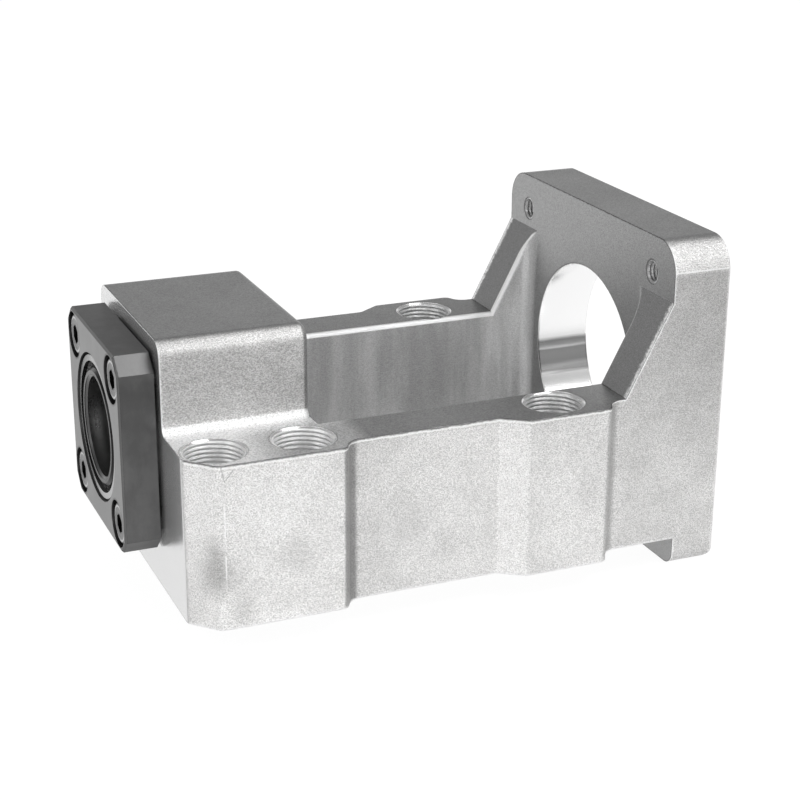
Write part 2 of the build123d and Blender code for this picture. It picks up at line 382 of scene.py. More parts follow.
grainForm = {
    "scale": 4200.0,
    "stretch": 0.55,
    "fine": (2.0, 0.6),
    "coarse": (2.0, 0.5),
    "coarseScale": 0.5,
    "heightShare": 0.6,
    "fineShare": 0.78,
    "speckRange": (0.36, 0.64),
}


def grainGroup():
    # Blasted or cast grain, a little longer along X: a height, and a speckle between 0 and 1
    form = grainForm
    group, inside, outside = newGroup(
        "blastedGrain", (("Scale", form["scale"]), ("Stretch", form["stretch"])),
        (("Height", "NodeSocketFloat"), ("Speckle", "NodeSocketFloat")))
    tree = Tree(group)
    scale = inside.outputs["Scale"]
    x, y, z = tree.split(tree.objectPlace())
    drawn = tree.join(tree.times(x, inside.outputs["Stretch"]), y, z)
    fine = tree.noise(scale, *form["fine"], drawn)
    coarse = tree.noise(tree.times(scale, form["coarseScale"]), *form["coarse"], drawn)
    height = tree.plus(tree.times(fine, form["heightShare"]), tree.times(coarse, form["heightShare"]))
    tree.put(height, outside.inputs["Height"])
    both = tree.plus(tree.times(fine, form["fineShare"]), tree.times(coarse, 1 - form["fineShare"]))
    tree.put(tree.step(both, form["speckRange"]), outside.inputs["Speckle"])
    return group


edgeForm = {
    "width": 0.0004,
    "raggedness": 0.5,
    "samples": 6,
    "torn": (1300.0, 4.0, 0.75),
    "tornRange": (0.3, 0.7),
    "widthShares": (0.35, 1.3),
    "ragStrength": 0.04,
}


def edgeGroup():
    # How far a bevelled normal turns near the edges, torn by noise, and that normal itself
    form = edgeForm
    group, inside, outside = newGroup(
        "roundedEdge", (("Width", form["width"]), ("Raggedness", form["raggedness"])),
        (("Level", "NodeSocketFloat"), ("Normal", "NodeSocketVector")))
    tree = Tree(group)
    bevel = tree.nodes.new("ShaderNodeBevel")
    bevel.samples = form["samples"]
    torn = tree.noise(*form["torn"])
    widthShare = tree.step(torn, form["tornRange"], form["widthShares"])
    tree.put(tree.times(inside.outputs["Width"], widthShare), bevel.inputs["Radius"])
    surface = tree.nodes.new("ShaderNodeNewGeometry")
    turned = tree.rest(tree.dot(bevel.outputs[0], surface.outputs["Normal"]))
    rag = tree.times(torn, inside.outputs["Raggedness"], form["ragStrength"])
    tree.put(tree.minus(turned, rag), outside.inputs["Level"])
    tree.put(bevel.outputs[0], outside.inputs["Normal"])
    return group


driftForm = {
    "scale": 40.0,
    "broad": (2.0, 0.5),
    "patchy": (4.0, 0.6),
    "patchyScale": 5.0,
    "broadShare": 0.6,
    "toneRange": (0.3, 0.7),
}


def driftGroup():
    # Slow changes of tone over a surface, between 0 and 1
    form = driftForm
    group, inside, outside = newGroup(
        "toneDrift", (("Scale", form["scale"]),), (("Tone", "NodeSocketFloat"),))
    tree = Tree(group)
    scale = inside.outputs["Scale"]
    broad = tree.noise(scale, *form["broad"])
    patchy = tree.noise(tree.times(scale, form["patchyScale"]), *form["patchy"])
    both = tree.plus(tree.times(broad, form["broadShare"]), tree.times(patchy, 1 - form["broadShare"]))
    tree.put(tree.step(both, form["toneRange"]), outside.inputs["Tone"])
    return group


blastedGrain = grainGroup()
roundedEdge = edgeGroup()
toneDrift = driftGroup()
print("node groups:", len(bpy.data.node_groups))


def newMaterial(name):
    material = bpy.data.materials.new(name)
    material.use_nodes = True
    tree = Tree(material.node_tree)
    shader = material.node_tree.nodes["Principled BSDF"]
    return material, tree, shader


def grey(level, warmth=0.0):
    return (level * (1 + warmth), level, level * (1 - warmth), 1.0)


def bump(tree, shader, height, distance, normal=None):
    node = tree.nodes.new("ShaderNodeBump")
    if normal is not None:
        tree.put(normal, node.inputs["Normal"])
    node.inputs["Strength"].default_value = 1.0
    node.inputs["Distance"].default_value = distance
    tree.put(height, node.inputs["Height"])
    tree.put(node.outputs["Normal"], shader.inputs["Normal"])


# The cast and machined faces: tones, and the share of its tone that an area keeps. Many of these tones and
# shares are painted light and shade, and the white is the tone of the painted highlights on the edges,
# partly also their real wear. A noise that starts with three scales has one each along X, Y and Z

castFinishAndLight = {
    "skin": (0.61, 0.78),
    "warmth": 0.006,
    "driftScale": 38.0,
    "inner": 0.43,
    "gusset": 0.6,
    "streaks": ((260.0, 260.0, 32.0), 3.0, 0.55),
    "streakRange": (0.32, 0.68),
    "streakShares": (0.84, 1.14),
    "machined": (0.285, 0.345),
    "flangeFace": 0.37,
    "slopeShadeShare": 0.68,
    "speckle": 0.6,
    "innerSpeckle": 0.26,
    "machinedSpeckle": 0.5,
    "blockShadeShare": 0.78,
    "blockEdgeHighlightShare": 1.3,
    "flangeShadeShares": (0.9, 0.7),
    "cornerHighlightShare": 1.45,
    "leftShare": 1.12,
    "awayShadeShares": (0.5, 0.74),
    "towardsLightShare": 1.12,
    "ledgeReflection": (0.54, 1.0),
    "foot": 0.9,
    "endFace": 0.8,
    "cut": 0.8,
    "motorRim": 0.2,
    "white": 1.0,
    "pocketEdgeHighlightShare": 0.85,
    "slopeEdgeHighlightShare": 0.95,
    "cornerLineHighlightShare": 0.8,
    "edgeShade": 0.05,
    "edgeShadeShare": 0.9,
    "skinRough": 0.5,
    "machinedRough": 0.42,
    "endRough": 0.22,
    "cutRough": 0.22,
    "metallic": 0.9,
    "grainScale": 7600.0,
    "grainDepth": 0.00014,
    "machinedGrain": 0.2,
    "edgeWidth": 0.00045,
    "edgeRaggedness": 1.0,
    "edgeRange": (-0.01, 0.03),
    "wearAndSheenWidth": 0.0009,
    "wearAndSheenRaggedness": 2.5,
    "wearAndSheenRange": (0.0, 0.06),
    "slopeTorn": (1500.0, 4.0, 0.75),
    "slopeTornReach": 2.4,
}

# Limits of its areas. Here and in the marks below, places and reaches are in millimetres. A look
# is one part of the surface's direction, from -1 to 1. A pair says where the area starts to show
# and where it shows fully
areas = {
    "endLook": (0.9, 0.985),  # the milled face behind the plate
    "endDepth": 0.1,
    "footX": (-4.0, -9.5),  # the rail tops beside the block
    "footLook": (0.05, 0.25),
    "footAboveRail": 2.0,
    "ledgeX": (-18.0, -28.0),  # their outer part
    "ledgeAside": (25.5, 19.0),
    "flatLook": (0.6, 0.1),  # all that doesn't look sideways
    "facedLook": (0.8, 0.99),  # upright faces, such as the flange's
    "innerAside": 22.6,  # the pocket's walls
    "innerStart": -10.4,
    "gussetX": (36.0, 45.0),  # their part in the gussets
    "slopeBack": (-0.2, -0.4),  # the gussets' slopes
    "slopeUp": (0.2, 0.4),
    "slopeNotLevel": (0.95, 0.85),
    "slopeStart": 30.0,
    "slopeEdge": (30.0, 31.0),  # their outer edge
    "blockZ": (28.5, 31.0),  # the block above the rails
    "blockEdgeLook": (0.2, 0.5),  # its rounded edge
    "flangeX": (37.3, 38.4),  # the flange's sides
    "flangeZ": (14.0, 44.0),
    "cornerZ": (48.4, 49.6),  # its near corner
    "cornerY": (-20.0, -28.0),
    "cornerLine": (49.2, 0.22),  # the light line below that corner: height, reach
    "cornerLineEnd": -28.0,
    "leftX": (-8.0, -10.0),  # the rails' sides beside the block
    "leftZ": (29.5, 28.2),
    "awayLook": (0.08, 0.45),  # the sides' steps that look away from the block
    "awayX": (0.0, 1.0),
    "awayEnd": 45.0,
    "towardsLook": (-0.1, -0.4),  # and those that look towards it
    "towardsNotFaced": (-0.85, -0.6),
    "pocketEdgeLook": (0.1, 0.3),  # the rounded top edge of the pocket's far wall
    "pocketEdgeUp": (0.1, 0.25),
    "holeRim": (5.42, 5.32),  # distance from a base hole's axis
    "motorRim": 2.25,  # distance from a motor hole's axis
    "motorRimStart": 0.005,  # how far behind the flange's face it starts
    "boreSlack": 0.4,  # how far outside the bore's wall its finish reaches
    "boreStart": 0.05,
}

# Soft dark stains on the near wall: place along X and Z, reach, share of the tone taken away
stains = (
    ((-31.3, 9.4), 3.4, 0.36),
    ((-28.2, 9.0), 2.4, 0.12),
    ((-31.5, 14.0), 2.0, 0.2),
    ((-27.5, 2.5), 3.0, 0.18),
    ((-19.0, 12.0), 3.5, 0.12),
    ((2.0, 13.0), 4.5, 0.12),
    ((8.5, 7.0), 3.5, 0.12),
    ((33.5, 14.0), 3.5, 0.1),
)
stainHeightShare = 0.55  # the stains reach further up than along
nearWallY = (-28.0, -30.0)

# The painted reflection on the bore's far side, a dark band with a light line in it on white: heights of
# its limits, and its tones from the top
boreReflection = {
    "above": (23.0, 21.9),
    "below": (15.7, 16.5),
    "upperTone": 0.27,
    "upperFade": (21.8, 20.4),
    "middleTone": 0.12,
    "lowerFade": (18.3, 16.6),
    "lowerTone": 0.3,
    "lightLine": (20.9, 0.5),
    "lightTone": 0.3,
    "wave": 1.4,
    "waves": ((60.0, 900.0, 900.0), 3.0, 0.6),
}

# The near rail's top edge, partly worn and partly painted light and shade: a dark shade line, a white
# highlight line and a grey line. Each line: height, reach, share, tone
topEdgeWearAndLight = {
    "torn": ((500.0, 500.0, 900.0), 4.0, 0.7),
    "tornReach": 0.5,
    "look": (0.3, 0.6),
    "end": 38.2,
    "side": -25.0,
    "lines": ((28.0, 0.27, 0.9, 0.08), (27.6, 0.2, 0.9, 1.0), (27.25, 0.12, 0.35, 0.5)),
}

# The nick at the near rail's end, as lines from X, Z to X, Z, and the glint below it, a painted highlight
# along the rounded edge: X, reach
nick = {
    "lines": (((-30.6, 27.9), (-30.1, 25.4)), ((-30.1, 25.4), (-28.6, 27.2))),
    "shaken": (1500.0, 3.0, 0.6),
    "shakenReach": 0.3,
    "reach": (0.15, 0.06),
    "tone": 0.4,
    "share": 0.6,
    "side": -27.0,
    "glint": (-30.2, 0.2),
    "glintFoot": (5.0, 12.0),
    "glintHead": (23.0, 20.0),
    "broken": (420.0, 3.0, 0.6),
    "brokenRange": (0.36, 0.5),
    "glintShare": 0.85,
}


def holeMask(tree, spot):
    # 1 in and around the six base holes
    across = tree.minus(spot.aside, casting["baseHoleY"] * mm)
    nearest = 1.0
    for holeX in casting["baseHoleX"]:
        along = tree.minus(spot.x, holeX * mm)
        nearest = tree.smaller(tree.distance(along, across), nearest)
    return tree.past(nearest, areas["holeRim"])


def boreMask(tree, spot):
    # 1 on the wall of the flange's bore
    limit = (casting["boreRadius"] + areas["boreSlack"]) * mm
    start = (casting["flangeFace"] + areas["boreStart"]) * mm
    return tree.times(tree.below(axisReach(tree, spot), limit), tree.above(spot.x, start))


def boreTone(tree, spot):
    zone = boreReflection
    # A painted reflection: the bore's wall is white, with a dark band and a light line on its far side
    height = tree.plus(spot.z, tree.wander(tree.drawnNoise(*zone["waves"]), zone["wave"]))
    farSide = tree.above(spot.y, 0.0)
    dark = tree.times(tree.past(height, zone["above"]), tree.past(height, zone["below"]), farSide)
    upper = tree.past(height, zone["upperFade"])
    tone = tree.mix(upper, grey(zone["upperTone"]), grey(zone["middleTone"]))
    tone = tree.mix(tree.past(height, zone["lowerFade"]), tone, grey(zone["lowerTone"]))
    tone = tree.mix(tree.band(height, *zone["lightLine"]), tone, grey(zone["lightTone"]))
    return tree.mix(dark, grey(1.0), tone)


def stainShare(tree, spot):
    # What is left of the tone beside the stains
    left = 1.0
    for (stainX, stainZ), reach, strength in stains:
        along = tree.minus(spot.x, stainX * mm)
        up = tree.times(tree.minus(spot.z, stainZ * mm), stainHeightShare)
        stain = tree.past(tree.distance(along, up), (reach, 0.0))
        left = tree.minus(left, tree.times(stain, strength))
    return tree.past(spot.y, nearWallY, (1.0, left))


def topEdge(tree, spot, colour):
    # The near rail's top edge: a torn dark line of painted shade, a white line of painted highlight that
    # is partly also real wear, and a faint grey one
    height = tree.plus(spot.z, tree.wander(tree.drawnNoise(*topEdgeWearAndLight["torn"]), topEdgeWearAndLight["tornReach"]))
    onEdge = tree.times(
        tree.step(tree.size(spot.lookY), topEdgeWearAndLight["look"]),
        tree.below(spot.x, topEdgeWearAndLight["end"] * mm), tree.below(spot.y, topEdgeWearAndLight["side"] * mm))
    for middle, reach, share, tone in topEdgeWearAndLight["lines"]:
        line = tree.times(tree.band(height, middle, reach), onEdge, share)
        colour = tree.mix(line, colour, grey(tone))
    return colour


def lineReach(tree, along, up, start, end):
    # Distance in X and Z from the straight line between two places
    spanX, spanZ = (end[0] - start[0]) * mm, (end[1] - start[1]) * mm
    fromX = tree.minus(along, start[0] * mm)
    fromZ = tree.minus(up, start[1] * mm)
    dot = tree.plus(tree.times(fromX, spanX), tree.times(fromZ, spanZ))
    share = tree.math("DIVIDE", dot, spanX * spanX + spanZ * spanZ)
    share = tree.smaller(tree.larger(share, 0.0), 1.0)
    offX = tree.minus(fromX, tree.times(share, spanX))
    offZ = tree.minus(fromZ, tree.times(share, spanZ))
    return tree.distance(offX, offZ)


def nickedCorner(tree, spot, colour):
    # The nick in the near rail's top edge beside the end, and a faint broken light line below it, a
    # painted glint
    nearSide = tree.below(spot.y, nick["side"] * mm)
    shaken = tree.plus(spot.x, tree.wander(tree.noise(*nick["shaken"]), nick["shakenReach"]))
    for start, end in nick["lines"]:
        line = tree.past(lineReach(tree, shaken, spot.z, start, end), nick["reach"])
        colour = tree.mix(tree.times(line, nearSide, nick["share"]), colour, grey(nick["tone"]))
    glint = tree.times(
        tree.band(shaken, *nick["glint"]),
        tree.past(spot.z, nick["glintFoot"]), tree.past(spot.z, nick["glintHead"]),
        tree.step(tree.noise(*nick["broken"]), nick["brokenRange"]), nearSide, nick["glintShare"])
    return tree.mix(glint, colour, grey(1.0))


def castAreas(tree, spot):
    # Masks that are 1 inside each area of the casting
    endFace = tree.times(
        tree.step(tree.times(spot.lookX, -1.0), areas["endLook"]),
        tree.below(spot.x, bracketLow.x + areas["endDepth"] * mm))
    foot = tree.times(
        tree.past(spot.x, areas["footX"]), tree.step(spot.lookZ, areas["footLook"]),
        tree.below(spot.z, (casting["railTop"] + areas["footAboveRail"]) * mm), tree.rest(endFace))
    flat = tree.step(tree.size(spot.lookY), areas["flatLook"])
    inner = tree.times(
        tree.below(spot.aside, areas["innerAside"] * mm),
        tree.above(spot.x, areas["innerStart"] * mm))
    machined = tree.times(flat, tree.rest(endFace), tree.rest(foot))
    skin = tree.rest(machined)
    slope = tree.times(
        tree.step(spot.lookX, areas["slopeBack"]), tree.step(spot.lookZ, areas["slopeUp"]),
        tree.step(spot.lookZ, areas["slopeNotLevel"]), tree.above(spot.x, areas["slopeStart"] * mm))
    block = tree.times(
        tree.past(spot.z, areas["blockZ"]), tree.below(spot.x, casting["blockRear"] * mm), skin)
    flange = tree.times(tree.past(spot.x, areas["flangeX"]), skin, tree.rest(inner))
    motorReach = axisReach(tree, spot, casting["motorHoleSpacing"] / 2)
    return {
        "endFace": endFace,
        "foot": foot,
        "flat": flat,
        "inner": inner,
        "machined": machined,
        "slope": slope,
        "block": block,
        "blockEdge": tree.times(block, tree.step(spot.lookZ, areas["blockEdgeLook"])),
        "flange": flange,
        "corner": tree.times(
            flange, tree.past(spot.z, areas["cornerZ"]), tree.past(spot.y, areas["cornerY"])),
        "cornerLine": tree.times(
            tree.band(spot.z, *areas["cornerLine"]), flange,
            tree.below(spot.y, areas["cornerLineEnd"] * mm)),
        "left": tree.times(tree.past(spot.x, areas["leftX"]), tree.past(spot.z, areas["leftZ"])),
        "away": tree.times(
            tree.step(spot.lookX, areas["awayLook"]), skin,
            tree.below(spot.x, areas["awayEnd"] * mm)),
        "towards": tree.times(
            tree.step(spot.lookX, areas["towardsLook"]),
            tree.step(spot.lookX, areas["towardsNotFaced"]), tree.above(spot.x, 0.0), skin),
        "pocketEdge": tree.times(
            tree.step(tree.size(spot.lookY), areas["pocketEdgeLook"]),
            tree.step(spot.lookZ, areas["pocketEdgeUp"]), inner, tree.above(spot.y, 0.0)),
        "motorRim": tree.times(
            tree.below(motorReach, areas["motorRim"] * mm),
            tree.above(spot.x, (casting["flangeFace"] + areas["motorRimStart"]) * mm)),
    }


def castTone(tree, spot, area, drift):
    # The plain tones of skin, inner walls and machined faces. The machined faces, which look up or along
    # X, are darker partly for their finish and partly as painted shade. The gussets' slopes are darker
    # still, as painted shade. The inner walls are darker inside the pocket, partly for their smoother
    # finish and partly as painted shade, and lighter again on the gussets
    finish = castFinishAndLight
    skinDark, skinLight = (grey(tone, finish["warmth"]) for tone in finish["skin"])
    machinedDark, machinedLight = (grey(tone) for tone in finish["machined"])
    inner = tree.mix(tree.past(spot.x, areas["gussetX"]), grey(finish["inner"]), grey(finish["gusset"]))
    streaks = tree.drawnNoise(*finish["streaks"])
    inner = tree.scaled(inner, tree.step(streaks, finish["streakRange"], finish["streakShares"]))
    skin = tree.mix(area["inner"], tree.mix(drift, skinDark, skinLight), inner)
    faced = tree.step(tree.size(spot.lookX), areas["facedLook"])
    flat = tree.mix(faced, tree.mix(drift, machinedDark, machinedLight), grey(finish["flangeFace"]))
    flat = tree.scaled(flat, tree.blend(area["slope"], 1.0, finish["slopeShadeShare"]))
    return tree.mix(area["machined"], skin, flat)


def castShare(tree, spot, area):
    # The share of its tone that each area keeps. Apart from the real stains, these shares are painted
    # light and shade. The block is darker, with a painted highlight on its rounded edge. The flange's
    # sides darken towards the top, with a painted highlight on the near corner. The steps that look away
    # from the block are in painted shade, and those that look towards it in painted light. The rails'
    # sides beside the block are lighter
    finish = castFinishAndLight
    areaShares = {
        "block": finish["blockShadeShare"],
        "blockEdge": finish["blockEdgeHighlightShare"],
        "flange": tree.past(spot.z, areas["flangeZ"], finish["flangeShadeShares"]),
        "corner": finish["cornerHighlightShare"],
        "left": finish["leftShare"],
        "away": tree.past(spot.x, areas["awayX"], finish["awayShadeShares"]),
        "towards": finish["towardsLightShare"],
    }
    share = stainShare(tree, spot)
    for name, areaShare in areaShares.items():
        share = tree.times(share, tree.blend(area[name], 1.0, areaShare))
    return share


def castWear(tree, spot, area, colour):
    # Light edges, partly real wear and partly painted highlight, the lines of painted light and shade and
    # the nick on the near side, and painted shade as dark lines along the edges of the flat faces
    finish = castFinishAndLight
    white = grey(finish["white"])
    edge = tree.group(roundedEdge, Width=finish["edgeWidth"], Raggedness=finish["edgeRaggedness"])
    wideEdge = tree.group(roundedEdge, Width=finish["wearAndSheenWidth"], Raggedness=finish["wearAndSheenRaggedness"])
    # Painted highlight, partly also real wear: the rounded edges of the faces that look sideways turn
    # white
    edgeLine = tree.times(tree.step(wideEdge["Level"], finish["wearAndSheenRange"]), tree.rest(area["flat"]))
    colour = tree.mix(edgeLine, colour, white)
    # Painted highlight on the rounded top edge of the pocket's far wall
    colour = tree.mix(tree.times(area["pocketEdge"], finish["pocketEdgeHighlightShare"]), colour, white)
    # Painted highlight, torn by noise, along the outer edge of the gussets' slopes
    torn = tree.wander(tree.noise(*finish["slopeTorn"]), finish["slopeTornReach"])
    outermost = tree.past(tree.plus(spot.aside, torn), areas["slopeEdge"])
    slopeEdge = tree.times(area["slope"], outermost, finish["slopeEdgeHighlightShare"])
    colour = topEdge(tree, spot, tree.mix(slopeEdge, colour, white))
    # Painted highlight: the light line below the flange's near corner
    colour = tree.mix(tree.times(area["cornerLine"], finish["cornerLineHighlightShare"]), colour, white)
    colour = nickedCorner(tree, spot, colour)
    # Painted shade: a dark line along the edges of the flat faces
    edgeShade = tree.times(tree.step(edge["Level"], finish["edgeRange"]), area["flat"])
    colour = tree.mix(tree.times(edgeShade, finish["edgeShadeShare"]), colour, grey(finish["edgeShade"]))
    return colour, edge["Normal"]


def castAluminium():
    material, tree, shader = newMaterial("castAluminium")
    finish = castFinishAndLight
    spot = Spot(tree)
    area = castAreas(tree, spot)
    grain = tree.group(blastedGrain, Scale=finish["grainScale"])
    drift = tree.group(toneDrift, Scale=finish["driftScale"])["Tone"]
    amount = tree.blend(area["inner"], finish["speckle"], finish["innerSpeckle"])
    amount = tree.blend(area["machined"], amount, finish["machinedSpeckle"])
    speck = tree.plus(tree.times(tree.minus(grain["Speckle"], 0.5), amount), 1.0)
    share = tree.times(speck, castShare(tree, spot, area))
    colour = tree.scaled(castTone(tree, spot, area, drift), share)
    # Painted reflection and highlight: the rail tops beside the block mirror the block's lit wall and its
    # fillet. They get lighter towards the rails' end and take the foot tone nearer the middle
    ledgeReflection = tree.scaled(grey(1.0), tree.past(spot.x, areas["ledgeX"], finish["ledgeReflection"]))
    rise = tree.past(spot.aside, areas["ledgeAside"])
    foot = tree.mix(rise, ledgeReflection, grey(finish["foot"]))
    colour = tree.mix(area["foot"], colour, tree.scaled(foot, speck))
    colour, edgeNormal = castWear(tree, spot, area, colour)
    holes = holeMask(tree, spot)
    bore = boreMask(tree, spot)
    colour = tree.mix(area["endFace"], colour, grey(finish["endFace"]))
    colour = tree.mix(holes, colour, grey(finish["cut"]))
    # Painted shade in the motor holes: their walls and rims are darker
    colour = tree.mix(area["motorRim"], colour, grey(finish["motorRim"]))
    tree.put(tree.mix(bore, colour, boreTone(tree, spot)), shader.inputs["Base Color"])
    cut = tree.larger(holes, bore)
    rough = tree.blend(area["machined"], finish["skinRough"], finish["machinedRough"])
    rough = tree.blend(area["endFace"], rough, finish["endRough"])
    tree.put(tree.blend(cut, rough, finish["cutRough"]), shader.inputs["Roughness"])
    shader.inputs["Metallic"].default_value = finish["metallic"]
    smooth = tree.larger(area["machined"], area["endFace"])
    depth = tree.blend(smooth, 1.0, finish["machinedGrain"])
    height = tree.times(grain["Height"], depth, tree.rest(cut))
    bump(tree, shader, height, finish["grainDepth"], edgeNormal)
    return material


# The flanks of the threads, with fine scratches along the turns

threadFinish = {
    "drift": (900.0, 3.0, 0.6),
    "scratches": ((700.0, 700.0, 7000.0), 4.0, 0.7),
    "scratchShare": 0.65,
    "toneRange": (0.35, 0.65),
    "driftRange": (0.3, 0.7),
    "rough": (0.36, 0.5),
    "metallic": 0.85,
    "depth": 0.00008,
}


def cutAluminium(name, dark, bright):
    material, tree, shader = newMaterial(name)
    finish = threadFinish
    drift = tree.noise(*finish["drift"])
    scratches = tree.drawnNoise(*finish["scratches"])
    share = tree.plus(
        tree.times(drift, 1 - finish["scratchShare"]), tree.times(scratches, finish["scratchShare"]))
    colour = tree.mix(tree.step(share, finish["toneRange"]), grey(dark), grey(bright))
    tree.put(colour, shader.inputs["Base Color"])
    rough = tree.step(drift, finish["driftRange"], finish["rough"])
    tree.put(rough, shader.inputs["Roughness"])
    shader.inputs["Metallic"].default_value = finish["metallic"]
    bump(tree, shader, scratches, finish["depth"])
    return material


# Ground or turned steel. Its fine lines follow the direction with the smallest scale. The front, top and
# under shares are painted light and shade, which make the sides that look that way lighter or darker. The
# far shadow tone is a painted shadow on the far side, the edge tone makes a line along the edges, and each
# ring gives another tone: offset of its axis, inner and outer radius, all in millimetres, and tone

plainSteel = {
    "lineForm": (3.0, 0.6),
    "driftScale": 60.0,
    "lineShare": 0.5,
    "toneRange": (0.3, 0.7),
    "edgeWidth": 0.0002,
    "edgeRaggedness": 0.6,
    "edgeRange": (0.0, 0.06),
    "edgeTone": 0.5,
    "edgeShare": 0.6,
    "frontLook": (-0.8, -0.98),
    "frontShare": 1.0,
    "topLook": (0.8, 0.99),
    "topShare": 1.0,
    "underLook": (-0.3, -0.6),
    "underShare": 1.0,
    "farY": (0.0, 7.0),
    "farShadowTone": None,
    "rings": (),
    "boreHighlight": None,
    "roughRange": (0.25, 0.75),
    "roughShares": (0.85, 1.15),
    "metallic": 0.95,
    "depth": 0.000006,
}

plateSteel = {
    "tones": (0.125, 0.155),
    "rough": 0.36,
    "lines": (900.0, 900.0, 260.0),
    # Painted shade: dark lines along the plate's edges, a dark ring in the screws' counterbores, and the
    # top and underside darker. Painted light: the front lighter
    "edgeTone": 0.03,
    "edgeShare": 0.7,
    "rings": ((casting["screwOffset"], 0.0, 4.3, 0.1),),
    "topShare": 0.58,
    "underShare": 0.5,
    "frontShare": 1.5,
}

screwSteel = {
    "tones": (0.18, 0.3),
    "rough": 0.3,
    "lines": (900.0, 900.0, 900.0),
    "edgeTone": 0.3,
    # Its rings: painted shade in the socket, a darker ring around it, a painted highlight on the head's
    # rim and a painted shadow in the gap around the head
    "rings": (
        (casting["screwOffset"], 0.0, 1.8, 0.03),
        (casting["screwOffset"], 1.8, 2.75, 0.12),
        (casting["screwOffset"], 2.75, 3.1, 0.5),
        (casting["screwOffset"], 3.1, 4.0, 0.03),
    ),
}

bearingSteel = {
    "tones": (0.52, 0.6),
    "rough": 0.16,
    "lines": (4000.0, 200.0, 200.0),
    "edgeTone": 0.7,
}

# The bore highlight is a painted highlight, a lighter band on the front collar's bore behind the plate's
# face. Its depth and height are each a middle and a reach, in millimetres
collarSteel = {
    "tones": (0.025, 0.05),
    "rough": 0.3,
    "lines": (4000.0, 200.0, 200.0),
    "edgeTone": 0.2,
    "rings": ((0.0, 0.0, 8.52, 0.2), (0.0, 8.52, 8.8, 0.1), (0.0, 8.8, 10.4, 0.02)),
    "boreHighlight": {"depth": (2.2, 1.3), "height": (-3.0, 6.5), "radius": 8.6, "share": 0.85, "tone": 0.75},
}

caseSteel = {
    "tones": (0.3, 0.4),
    "rough": 0.26,
    "lines": (4000.0, 300.0, 300.0),
    # A painted shadow of the plate's rim darkens the case on its far side
    "farShadowTone": 0.1,
}


def groundSteel(name, ownFinish):
    material, tree, shader = newMaterial(name)
    finish = {**plainSteel, **ownFinish}
    spot = Spot(tree)
    lines = tree.drawnNoise(finish["lines"], *finish["lineForm"])
    drift = tree.group(toneDrift, Scale=finish["driftScale"])["Tone"]
    share = tree.plus(
        tree.times(lines, finish["lineShare"]), tree.times(drift, 1 - finish["lineShare"]))
    dark, light = (grey(tone) for tone in finish["tones"])
    colour = tree.mix(tree.step(share, finish["toneRange"]), dark, light)
    for look, side in ((spot.lookX, "front"), (spot.lookZ, "top"), (spot.lookZ, "under")):
        colour = tree.scaled(colour, tree.step(look, finish[side + "Look"], (1.0, finish[side + "Share"])))
    edge = tree.group(roundedEdge, Width=finish["edgeWidth"], Raggedness=finish["edgeRaggedness"])
    edgeLine = tree.times(tree.step(edge["Level"], finish["edgeRange"]), finish["edgeShare"])
    colour = tree.mix(edgeLine, colour, grey(finish["edgeTone"]))
    if finish["farShadowTone"] is not None:
        colour = tree.mix(tree.past(spot.y, finish["farY"]), colour, grey(finish["farShadowTone"]))
    for offset, inner, outer, tone in finish["rings"]:
        reach = axisReach(tree, spot, offset)
        inRing = tree.times(tree.above(reach, inner * mm), tree.below(reach, outer * mm))
        colour = tree.mix(inRing, colour, grey(tone))
    if finish["boreHighlight"] is not None:
        boreHighlight = finish["boreHighlight"]
        onBoreHighlight = tree.times(
            tree.band(tree.minus(spot.x, plateLow.x), *boreHighlight["depth"]),
            tree.band(spot.up, *boreHighlight["height"]),
            tree.below(axisReach(tree, spot), boreHighlight["radius"] * mm), boreHighlight["share"])
        colour = tree.mix(onBoreHighlight, colour, grey(boreHighlight["tone"]))
    tree.put(colour, shader.inputs["Base Color"])
    roughness = tuple(finish["rough"] * roughShare for roughShare in finish["roughShares"])
    tree.put(tree.step(share, finish["roughRange"], roughness), shader.inputs["Roughness"])
    shader.inputs["Metallic"].default_value = finish["metallic"]
    bump(tree, shader, lines, finish["depth"])
    return material


# Oiled seal rubber and moulded cage plastic, each with a mottle in tone and roughness

rubber = {
    "mottle": (700.0, 4.0, 0.6),
    "colours": (grey(0.012), grey(0.035)),
    "rough": (0.12, 0.3),
    "lumps": (520.0, 3.0, 0.6),
    "depth": 0.0005,
}

cage = {
    "mottle": (500.0, 3.0, 0.6),
    "colours": ((0.42, 0.37, 0.25, 1.0), (0.55, 0.5, 0.38, 1.0)),
    "rough": (0.42, 0.6),
    "lumps": (500.0, 3.0, 0.6),
    "depth": 0.00002,
}
mottleRange = (0.3, 0.7)


def mottled(name, finish):
    material, tree, shader = newMaterial(name)
    mottle = tree.noise(*finish["mottle"])
    tree.put(tree.mix(mottle, *finish["colours"]), shader.inputs["Base Color"])
    tree.put(tree.step(mottle, mottleRange, finish["rough"]), shader.inputs["Roughness"])
    bump(tree, shader, tree.noise(*finish["lumps"]), finish["depth"])
    return material


finishes = {
    "cast_aluminium": castAluminium(),
    "plate_steel": groundSteel("plateSteel", plateSteel),
    "screw_steel": groundSteel("screwSteel", screwSteel),
    "bearing_steel": groundSteel("bearingSteel", bearingSteel),
    "collar_steel": groundSteel("collarSteel", collarSteel),
    "case_steel": groundSteel("caseSteel", caseSteel),
    "seal_rubber": mottled("sealRubber", rubber),
    "cage_plastic": mottled("cagePlastic", cage),
}
slotOf = {part["node"]: part["material_slot"] for part in frame["record"]["subparts"]}

# Dark and bright tone of the threads, as lit and shaded copies of one material. Painted light makes those
# beside the block the brightest, and painted shade makes those of the motor holes the darkest
threadTones = {
    "cutAluminium": (0.55, 0.95),
    "litAluminium": (0.8, 1.0),
    "shadedAluminium": (0.28, 0.7),
}
threadFinishes = {name: cutAluminium(name, *tones) for name, tones in threadTones.items()}


